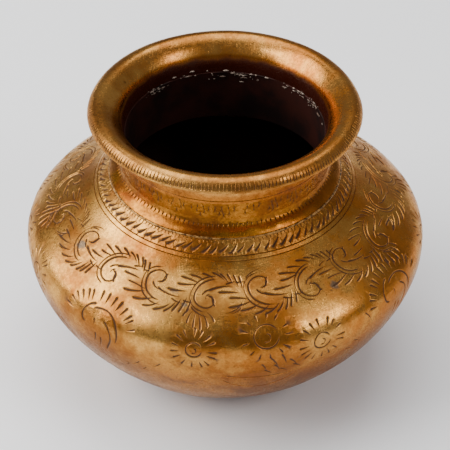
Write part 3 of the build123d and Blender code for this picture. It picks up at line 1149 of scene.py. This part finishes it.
def cut_sheet(shape, cut_sets, levels, half_turn, dent, spacing, room, scribed=(), tarnish_and_shade=no_tarnish):
    """A cut sheet over a whole outline, with its two border rings."""
    foot, head = shape["at"][0], shape["at"][-1]
    levels = [*levels, *scribed_levels(scribed)]
    flat, faces = drawing(cut_sets, levels, half_turn, foot, head, *spacing)
    depth = np.maximum(cut_depth(flat, cut_sets), scribed_depth(flat, scribed, 1.0))
    marks = {
        "cut": np.clip(depth / LIP_FULLY_DIRTY, 0, 1),
        "soil": soil_map(cut_sets, half_turn, foot, head)(flat),
        "tarnish_and_shade": tarnish_and_shade(flat[:, 1]),
    }
    where, corners = set_on(shape, flat, faces, dent, depth)
    made = sheet(where, faces, corners, flat, 0, marks, room)
    return made, ring_of(where, flat, foot), ring_of(where, flat, head)


neck_levels = [measure_at(NECK, height) for height in (FLANGE_TOP[1], NECK_FLARE)]
neck_skin, neck_foot, neck_head = cut_sheet(
    NECK, neck_cuts, neck_levels, NECK_HALF, neck_dent, (1.6, 1.6), (0, 0, 1, 0.5))
neck_rest = turned_sheet(
    straight((NECK_RADIUS, NECK_TOP), (THROAT_RADIUS, NECK_TOP), (THROAT_RADIUS, SPIGOT_BOTTOM),
             (NECK_RADIUS, SPIGOT_BOTTOM), (NECK_RADIUS, SEAT_HEIGHT), (SEAT_RADIUS, SEAT_HEIGHT)),
    neck_head[1], NECK_RADIUS, first=neck_head[0], last=neck_foot[0], room=(0, 0.52, 1, 0.46))

print("neck faces", len(neck_skin["faces"]), "and", len(neck_rest["faces"]))

# %% [markdown]
# The lip is cut last.  Its corners have to be edges of its surface, so their measures are found
# on the outline and given as level lines.  One fine line was scribed round the skirt.

# %% Closing the lip
def lip_measure(place):
    """Measure of the outline's point nearest to a place."""
    gap = LIP["point"] - np.array(place)
    return float(LIP["at"][np.argmin(np.hypot(gap[:, 0], gap[:, 1]))])


lip_levels = [lip_measure(place) for place in (SKIRT_TOP, LIP_EDGE, lip_corner)]
skirt_lines = ((measure_at(LIP, 103.1), 0.22),)
lip_skin, lip_foot, lip_head = cut_sheet(
    LIP, lip_cuts, lip_levels, LIP_HALF, lip_dent, (1.7, 1.5), (0, 0, 1, 0.7), skirt_lines, lip_tarnish_and_shade)
lip_rest = turned_sheet(
    straight((THROAT_RADIUS, float(LIP["point"][-1, 1])), (THROAT_RADIUS, NECK_TOP),
             (NECK_RADIUS, NECK_TOP), (NECK_RADIUS, SKIRT_BOTTOM), (SKIRT_RADIUS, SKIRT_BOTTOM)),
    lip_head[1], LIP_DRAWING_RADIUS, first=lip_head[0], last=lip_foot[0], room=(0, 0.72, 1, 0.26))
print("lip faces", len(lip_skin["faces"]), "and", len(lip_rest["faces"]))

# %% [markdown]
# The neck was brazed on to the shoulder and the lip to the neck.  At the foot the bead is a
# thin, slightly lumpy line of paler metal; in the throat it is dark.  A bead is a tube bent into
# a ring, whose thickness wanders by a sum of waves so that it closes on itself.

# %% Brazed beads
def bead(radius, height, thick, lumps, seed, around=260, section=10):
    """A ring of round section whose thickness and height wander a little.

    P = ((R + t cos b) sin a, -(R + t cos b) cos a, z + t sin b), t = thick * (1 + wander(a))
    """
    own = np.random.default_rng(seed)
    a = np.linspace(-BACK, BACK, around + 1)
    turns = np.arange(3, 40)
    size = own.normal(0, 1, len(turns)) / turns**0.5
    phase = own.uniform(0, 2 * np.pi, len(turns))
    wander = (size * np.sin(a[:, None] * turns + phase)).sum(axis=1)
    wander = wander / np.abs(wander).max()
    b = np.linspace(0, 2 * np.pi, section + 1)
    t = thick * (1 - lumps + lumps * wander[None, :])
    out = radius + t * np.cos(b)[:, None]
    rise = height + t * np.sin(b)[:, None] + 0 * a
    where = np.stack([out * np.sin(a), -out * np.cos(a), rise], axis=-1)
    flat, faces = grid_sheet(a, b)
    level, upright = np.cos(b)[:, None], np.sin(b)[:, None] + 0 * a
    turned_out = np.stack([level * np.sin(a), -level * np.cos(a), upright], axis=-1)
    return sheet(where.reshape(-1, 3), faces, turned_out.reshape(-1, 3)[faces], flat)


foot_ring_bead = bead(SEAT_RADIUS - 0.05, SEAT_HEIGHT, 0.72, 0.25, 5)
throat_ring_bead = bead(THROAT_RADIUS + 0.1, NECK_TOP, 0.5, 0.4, 7)
print("a bead has", len(foot_ring_bead["faces"]), "faces")

# %% [markdown]
# In the throat the seam has gathered a chalky crust, in a few nests.  Each fleck is a small
# ball, squashed against the wall and stretched along the seam; all of them are worked out at
# once as one array of flecks by points.

# %% Crust in the throat
NESTS = ((1.95, 0.20), (2.2, 0.18), (2.45, 0.12), (2.95, 0.14), (3.3, 0.08),
         (-2.35, 0.12), (-2.75, 0.06), (1.2, 0.05), (-0.4, 0.05))


def unit_ball():
    """Points of a ball of radius one, their two turns, and its triangles."""
    flat, faces = grid_sheet(np.linspace(0, 2 * np.pi, 9), np.linspace(-np.pi / 2, np.pi / 2, 6))
    level = np.cos(flat[:, 1])
    ball = np.column_stack([level * np.cos(flat[:, 0]), level * np.sin(flat[:, 0]), np.sin(flat[:, 1])])
    return ball, flat, faces


def crust_flecks(count, radius, height, seed):
    """Small flattened lumps of crust lying along the seam, thicker on one side of the throat.

    Each is a ball squashed along the wall: P = centre + size * (long u, flat n, tall z).
    """
    own = np.random.default_rng(seed)
    nests, shares = np.array(NESTS).T
    angle = own.choice(nests, count, p=shares) + own.normal(0, 0.09, count)
    size = 0.14 + 0.36 * own.random(count) ** 1.8
    ball, flat, faces = unit_ball()
    stretch = own.uniform(0.9, 3.6, count)
    up = height + own.normal(-0.9, 1.1, count)
    u = np.column_stack([np.cos(angle), np.sin(angle), 0 * angle])
    n = np.column_stack([np.sin(angle), -np.cos(angle), 0 * angle])
    centre = n * radius + np.array([0, 0, 1.0]) * up[:, None]
    shaped = ball[None] * np.stack([size * stretch, size * 0.45, size * 0.8], axis=-1)[:, None]
    lumpy = 1 + 0.18 * np.sin(7 * ball[None, :, 0] + 9 * angle[:, None]) * np.cos(flat[None, :, 1])
    shaped = shaped * lumpy[..., None]
    where = centre[:, None] + shaped[..., :1] * u[:, None] + shaped[..., 1:2] * n[:, None]
    where[..., 2] += shaped[..., 2]
    corners = ball[:, :1] * u[:, None] + ball[:, 1:2] * n[:, None]
    corners[..., 2] += ball[:, 2]
    every = (faces[None] + (np.arange(count) * len(ball))[:, None, None]).reshape(-1, 3)
    every = every[:, ::-1]
    where, corners = where.reshape(-1, 3), corners.reshape(-1, 3)
    apart = np.repeat(np.arange(count), len(ball)) + np.tile(flat[:, 0], count) / 7
    spread_out = np.column_stack([apart, np.tile(flat[:, 1], count)])
    return sheet(where, every, corners[every], spread_out)


crust_sheet = crust_flecks(120, THROAT_RADIUS - 0.2, NECK_TOP, 9)
print("the crust has", len(crust_sheet["faces"]), "faces")

# %% [markdown]
# Finishes are small graphs of nodes.  A few helpers make them short to write: one makes any
# node and links what it is given, whether that is a plain value or another node's result.

# %% Making and linking nodes
def new_material(name):
    """An empty material with its shader and output."""
    material = bpy.data.materials.new(name)
    material.use_nodes = True
    tree = material.node_tree
    shader = tree.nodes["Principled BSDF"]
    return material, tree, shader


def set_or_link(tree, socket, value):
    """Link a value that comes from another node, or set a plain one."""
    if isinstance(value, bpy.types.NodeSocket):
        tree.links.new(value, socket)
    else:
        socket.default_value = value


def node(tree, kind, values=None, **settings):
    """A node with its settings, and plain values or links for its inputs."""
    made = tree.nodes.new(kind)
    for key, value in settings.items():
        setattr(made, key, value)
    for key, value in (values or {}).items():
        set_or_link(tree, made.inputs[key], value)
    return made


def mark(tree, name):
    """One of the marks kept at the points of a mesh."""
    return node(tree, "ShaderNodeAttribute", attribute_name=name).outputs["Fac"]


def rgb(red, green, blue):
    """A colour given as it looks on a screen, 0 to 255, as light values."""
    parts = np.array([red, green, blue]) / 255
    light = np.where(parts <= 0.04045, parts / 12.92, ((parts + 0.055) / 1.055) ** 2.4)
    return (*[float(v) for v in light], 1.0)


print("mid grey is", round(rgb(128, 128, 128)[0], 3), "as light")

# %% [markdown]
# The rest are the noises, sums and mixes that every finish uses.  Scales are in turns per metre,
# so a scale of 100 makes patches about a centimetre across.

# %% Noises, sums and mixes
def noise(tree, space, scale, detail=3.0, rough=0.55, bend=0.0):
    """Noise from 0 to 1 at a scale in turns per metre."""
    values = {"Vector": space, "Scale": scale, "Detail": detail, "Roughness": rough, "Distortion": bend}
    return node(tree, "ShaderNodeTexNoise", values).outputs["Fac"]


def streaks(tree, space, stretch, turn):
    """Noise squeezed along one direction, which leaves long thin streaks."""
    mapping = node(tree, "ShaderNodeMapping", {"Vector": space, "Rotation": turn, "Scale": stretch})
    return noise(tree, mapping.outputs["Vector"], 240.0, 2.0, 0.5)


def spread(tree, value, low, high, out_low=0.0, out_high=1.0):
    """Stretch values between low and high over a new range, without going past it."""
    values = {"Value": value, "From Min": low, "From Max": high, "To Min": out_low, "To Max": out_high}
    made = node(tree, "ShaderNodeMapRange", values, interpolation_type="SMOOTHSTEP")
    return made.outputs["Result"]


def plus(tree, a, b):
    """Sum of two values."""
    return node(tree, "ShaderNodeMath", {0: a, 1: b}, operation="ADD").outputs["Value"]


def minus(tree, a, b):
    """Difference of two values."""
    return node(tree, "ShaderNodeMath", {0: a, 1: b}, operation="SUBTRACT").outputs["Value"]


def times(tree, a, b):
    """Product of two values."""
    return node(tree, "ShaderNodeMath", {0: a, 1: b}, operation="MULTIPLY").outputs["Value"]


def blend(tree, amount, one, two, kind="MIX"):
    """Mix two colours by an amount."""
    made = node(tree, "ShaderNodeMix", data_type="RGBA", blend_type=kind)
    for key, value in ((0, amount), (6, one), (7, two)):
        set_or_link(tree, made.inputs[key], value)
    return made.outputs[2]


print("helpers ready:", [helper.__name__ for helper in (noise, streaks, spread, plus, times, blend)])

# %% [markdown]
# Old brass is never one colour.  Rubbed places stay golden, sheltered ones go brown, and there
# are patches of red copper oxide.  The colours are mixed from broad and fine noise in the pot's
# own space, so nothing repeats.

# %% Patina of rubbed brass
TARNISH_AND_SHADE_TONE = rgb(196, 160, 112)
MOTTLE = rgb(120, 84, 52)
SPECK = rgb(70, 38, 16)


def brass_noises(tree):
    """The noises and marks that every part of the finish reads, by name."""
    space = node(tree, "ShaderNodeTexCoord").outputs["Object"]
    return {
        "space": space,
        "broad": noise(tree, space, 26.0, 4.0, 0.55, 0.4),
        "middle": noise(tree, space, 95.0, 5.0, 0.62, 0.3),
        "fine": noise(tree, space, 900.0, 4.0, 0.65),
        "grain": noise(tree, space, 2600.0, 2.0, 0.6),
        "patch": noise(tree, space, 42.0, 5.0, 0.6, 0.8),
        "specks": noise(tree, space, 420.0, 3.0, 0.7),
        "streak_one": streaks(tree, space, (1, 1, 16), (0.5, 0.3, 0)),
        "streak_two": streaks(tree, space, (14, 1, 1), (0.2, 0.7, 0.9)),
        **{name: mark(tree, name) for name in MARKS},
    }


def patina(tree, seen, gold, brown, red, red_share, right_side_shade_tone):
    """Gold and brown by broad noise, red by patches, painted darker orange shade on the right side, fine
    specks.
    """
    tone = plus(tree, times(tree, seen["broad"], 0.6), times(tree, seen["middle"], 0.4))
    colour = blend(tree, spread(tree, tone, 0.40, 0.60), gold, brown)
    redness = times(tree, spread(tree, seen["patch"], 0.56, 0.70), red_share)
    colour = blend(tree, redness, colour, red)
    # Painted shade: the right side of the pot is mixed towards a darker orange tone.
    across = node(tree, "ShaderNodeSeparateXYZ", {"Vector": seen["space"]}).outputs["X"]
    clouds = spread(tree, seen["middle"], 0.3, 0.7, 0.2, 0.8)
    right_side_shade_share = times(tree, spread(tree, across, -0.02, 0.075), clouds)
    colour = blend(tree, right_side_shade_share, colour, right_side_shade_tone)
    # Painted shade: this multiply darkens the lower belly and the lip's skirt; down the throat it is
    # tarnish.
    tarnish_and_shade_multiply = spread(tree, seen["tarnish_and_shade"], 0.0, 0.34, 0.0, 0.85)
    colour = blend(tree, tarnish_and_shade_multiply, colour, TARNISH_AND_SHADE_TONE, "MULTIPLY")
    mottled = spread(tree, seen["fine"], 0.3, 0.72, 0.0, 0.28)
    colour = blend(tree, mottled, colour, MOTTLE, "MULTIPLY")
    specked = times(tree, spread(tree, seen["specks"], 0.60, 0.74), 0.55)
    return blend(tree, specked, colour, SPECK)


print("patina is mixed from", len(MARKS), "marks and eight noises")

# %% [markdown]
# Over the patina lies what the rag could not reach: a dull film where cuts are crowded, grey
# stains, black dirt in the bottoms of the cuts, and ragged dark tarnish in the throat.  The same
# dark layer is painted shade on the lower belly and on the lip's skirt.  Each layer is a colour
# and an amount, and the amounts are kept because gloss depends on them too.

# %% Dirt and tarnish
FILM = rgb(96, 60, 30)
GREY_STAIN = rgb(86, 84, 76)
CUT_DIRT = rgb(66, 37, 16)
DARK_TARNISH_AND_SHADE = rgb(52, 17, 8)


def dirt_layers(tree, seen, colour, grime):
    """The colour with film, stains, dirt, and tarnish with painted shade laid on, and the amounts of three
    of them.
    """
    film = times(tree, seen["soil"], spread(tree, seen["middle"], 0.35, 0.65, 0.35, 1.0))
    film = times(tree, film, grime)
    colour = blend(tree, film, colour, FILM)
    stained = plus(tree, seen["grey"], seen["specks"])
    colour = blend(tree, times(tree, spread(tree, stained, 0.75, 1.25), 0.75), colour, GREY_STAIN)
    dirt = spread(tree, seen["cut"], 0.12, 0.85)
    colour = blend(tree, dirt, colour, CUT_DIRT)
    # Dark layer: tarnish in the throat, and painted shade on the lower belly and the lip's skirt.
    ragged = plus(tree, seen["tarnish_and_shade"], times(tree, minus(tree, seen["middle"], 0.5), 0.9))
    begun = spread(tree, seen["tarnish_and_shade"], 0.0, 0.25)
    tarnish_and_shade_share = times(tree, spread(tree, ragged, 0.25, 0.85), begun)
    colour = blend(tree, tarnish_and_shade_share, colour, DARK_TARNISH_AND_SHADE)
    return colour, {"film": film, "dirt": dirt, "tarnish_and_shade_share": tarnish_and_shade_share}


print("cut dirt as light", [round(v, 3) for v in CUT_DIRT[:3]])

# %% [markdown]
# Under the colour the metal is softly satin, with fine scratches that run every way.  Dirt and
# film are duller than metal, and dirt and tarnish are hardly metal at all.  A very low bump
# carries what is too small to model: the grain of the satin and the hair scratches.

# %% Gloss and grain of the metal
SPECULAR_TINT = (0.94, 0.84, 0.70, 1.0)


def dullness(tree, seen, amounts, rough):
    """Roughness: satin that wanders a little, duller in dirt and film."""
    mixed = plus(tree, times(tree, seen["middle"], 0.5), times(tree, seen["fine"], 0.5))
    dull = spread(tree, mixed, 0.36, 0.64, rough - 0.07, rough + 0.12)
    dull = plus(tree, dull, times(tree, amounts["dirt"], 0.35))
    return plus(tree, dull, times(tree, amounts["film"], 0.10))


def satin_relief(tree, seen):
    """Shading normal from grain, soft unevenness and hair scratches."""
    scratch_one = spread(tree, seen["streak_one"], 0.62, 0.70)
    scratches = plus(tree, scratch_one, spread(tree, seen["streak_two"], 0.62, 0.70))
    height = plus(tree, times(tree, seen["fine"], 0.8), times(tree, seen["grain"], 0.35))
    height = minus(tree, height, times(tree, scratches, 0.35))
    height = plus(tree, height, times(tree, seen["middle"], 2.4))
    values = {"Height": height, "Strength": 0.22, "Distance": 0.0002}
    return node(tree, "ShaderNodeBump", values).outputs["Normal"]


def aged_brass(name, gold, brown, red, red_share, rough, grime, right_side_shade_tone):
    """Satin brass with patina, and dirt in its cuts."""
    material, tree, shader = new_material(name)
    seen = brass_noises(tree)
    clean = patina(tree, seen, gold, brown, red, red_share, right_side_shade_tone)
    colour, amounts = dirt_layers(tree, seen, clean, grime)
    not_metal = times(tree, plus(tree, amounts["dirt"], amounts["tarnish_and_shade_share"]), 0.7)
    tree.links.new(colour, shader.inputs["Base Color"])
    tree.links.new(dullness(tree, seen, amounts, rough), shader.inputs["Roughness"])
    tree.links.new(minus(tree, 1.0, not_metal), shader.inputs["Metallic"])
    tree.links.new(satin_relief(tree, seen), shader.inputs["Normal"])
    shader.inputs["Specular Tint"].default_value = SPECULAR_TINT
    return material


print("specular tint", SPECULAR_TINT[:3])

# %% [markdown]
# The inside was never rubbed and is nearly black-brown.  The brazed bead is duller and greyer
# than the brass, and the crust is chalk: both are two tones mixed by noise with a grainy skin.

# %% Inside, bead and crust finishes
def tarnished_inside(name):
    """The inside: brass that was never rubbed, dark red-brown and dull."""
    material, tree, shader = new_material(name)
    space = node(tree, "ShaderNodeTexCoord").outputs["Object"]
    tone = spread(tree, noise(tree, space, 60.0, 5.0, 0.6), 0.35, 0.65)
    tree.links.new(blend(tree, tone, rgb(26, 8, 4), rgb(56, 19, 9)), shader.inputs["Base Color"])
    shader.inputs["Metallic"].default_value = 0.6
    shader.inputs["Roughness"].default_value = 0.62
    return material


def chalky(name, pale, stain, rough, metal=0.0):
    """Chalky crust or dull bead metal: two tones mixed by noise, with a grainy surface."""
    material, tree, shader = new_material(name)
    space = node(tree, "ShaderNodeTexCoord").outputs["Object"]
    tone = spread(tree, noise(tree, space, 700.0, 5.0, 0.7), 0.36, 0.62)
    tree.links.new(blend(tree, tone, stain, pale), shader.inputs["Base Color"])
    shader.inputs["Roughness"].default_value = rough
    shader.inputs["Metallic"].default_value = metal
    height = noise(tree, space, 2400.0, 4.0, 0.7)
    bump = node(tree, "ShaderNodeBump", {"Height": height, "Strength": 0.6, "Distance": 0.0002})
    tree.links.new(bump.outputs["Normal"], shader.inputs["Normal"])
    return material


GOLD, BROWN, RED = rgb(215, 160, 80), rgb(154, 94, 35), rgb(160, 68, 22)
# The last colour here is a darker orange painted on the pot's right side as shade.
RIGHT_SIDE_SHADE = rgb(196, 118, 44)
NECK_GOLD, NECK_BROWN, NECK_RED = rgb(176, 116, 40), rgb(116, 62, 18), rgb(150, 52, 12)
LIP_GOLD, LIP_BROWN = rgb(206, 150, 76), rgb(160, 104, 46)
belly_brass = aged_brass("belly brass", GOLD, BROWN, RED, 0.22, 0.27, 0.5, RIGHT_SIDE_SHADE)
neck_brass = aged_brass("neck brass", NECK_GOLD, NECK_BROWN, NECK_RED, 0.5, 0.27, 0.45, RIGHT_SIDE_SHADE)
lip_brass = aged_brass("lip brass", LIP_GOLD, LIP_BROWN, RED, 0.2, 0.25, 0.5, RIGHT_SIDE_SHADE)
inside_brass = tarnished_inside("tarnished inside")
bead_metal = chalky("brazing metal", rgb(176, 132, 74), rgb(66, 40, 18), 0.45, 0.85)
crust = chalky("chalky crust", rgb(158, 142, 128), rgb(84, 60, 46), 0.9)
print("belly brass has", len(belly_brass.node_tree.nodes), "nodes")

# %% [markdown]
# Each piece now gets its mesh and its finishes, and takes over from the plain piece of the
# measured model that it stands for.  The ring of brazing metal inside the belly is hidden, so
# the measured piece stays and only its finish changes.

# %% Assemble the pot
lower_bowl = build("engraved_lower_bowl", lower_sheets, [belly_brass, inside_brass])
shoulder = build("engraved_shoulder", shoulder_sheets, [belly_brass, inside_brass])
neck = build("punched_neck", [neck_skin, neck_rest], [neck_brass, inside_brass])
lip = build("nicked_lip", [lip_skin, lip_rest], [lip_brass, inside_brass])
foot_bead = build("neck_foot_bead", [foot_ring_bead], [bead_metal])
throat_bead = build("throat_bead", [throat_ring_bead], [inside_brass])
flecks = build("throat_crust", [crust_sheet], [crust])
MADE_PIECES = (lower_bowl, shoulder, neck, lip, foot_bead, throat_bead, flecks)
for piece, cad_name, slot_name in (
    (lower_bowl, "lower_bowl", "belly_brass"), (shoulder, "shoulder_shell", "belly_brass"),
    (neck, "neck", "neck_brass"), (lip, "lip_ring", "lip_brass"),
    (foot_bead, "neck_foot_braze", "brazing_metal"), (throat_bead, "lip_braze", "seam_deposit"),
):
    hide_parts(cad_name)
for material_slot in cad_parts["belly_braze"].material_slots:
    material_slot.material = bead_metal
print("faces in all", sum(len(piece.data.polygons) for piece in MADE_PIECES))

# %% [markdown]
# The light is a plain studio: a large soft window to the left, a smaller one to the right,
# and a soft sheet of light high behind.  Each is placed by its turn from the front and its
# rise, and faces the pot.  A dim even sky fills the shadows.

# %% Light
SKY = (0.94, 0.95, 1.0, 1.0)
SKY_STRENGTH = 0.32


def softbox(name, turn, rise, distance, width, height, power):
    """An area light facing the pot, placed by its turn from the front and its rise."""
    data = bpy.data.lights.new(name, "AREA")
    data.shape = "RECTANGLE"
    data.size, data.size_y, data.energy = width, height, power
    light = bpy.data.objects.new(name, data)
    bpy.context.collection.objects.link(light)
    across, up = math.radians(turn), math.radians(rise)
    toward = Vector((math.cos(up) * math.sin(across), -math.cos(up) * math.cos(across), math.sin(up)))
    light.location = Vector((0, 0, AIM_HEIGHT)) + distance * toward
    light.rotation_euler = toward.to_track_quat("Z", "Y").to_euler()
    return light


softbox("window left", -86.0, 36.0, 1.3, 1.2, 1.0, 26.0)
softbox("window right", 57.0, 37.0, 1.4, 0.5, 0.55, 5.0)
softbox("sheet above", 180.0, 76.0, 2.2, 1.9, 1.9, 40.0)

world = bpy.data.worlds.new("studio")
world.use_nodes = True
world.node_tree.nodes["Background"].inputs["Color"].default_value = SKY
world.node_tree.nodes["Background"].inputs["Strength"].default_value = SKY_STRENGTH
bpy.context.scene.world = world
print("lights", [light.name for light in bpy.data.lights])

# %% [markdown]
# The pot stands on a plain pale floor, matt, so that it takes a soft shadow and throws a little
# light back under the belly.

# %% Floor
FLOOR_HALF = 4.0
FLOOR_COLOUR = (0.97, 0.97, 0.97, 1.0)


def lay_floor():
    """A wide square floor, pale and matt."""
    corners = np.array([(-1, -1, 0), (1, -1, 0), (1, 1, 0), (-1, 1, 0)]) * FLOOR_HALF
    mesh = bpy.data.meshes.new("floor")
    mesh.from_pydata(corners.tolist(), [], [(0, 1, 2, 3)])
    material, _, shader = new_material("pale floor")
    shader.inputs["Base Color"].default_value = FLOOR_COLOUR
    shader.inputs["Roughness"].default_value = 0.9
    mesh.materials.append(material)
    floor = bpy.data.objects.new("floor", mesh)
    bpy.context.collection.objects.link(floor)
    return floor


print("floor is", lay_floor().dimensions.x, "metres wide")
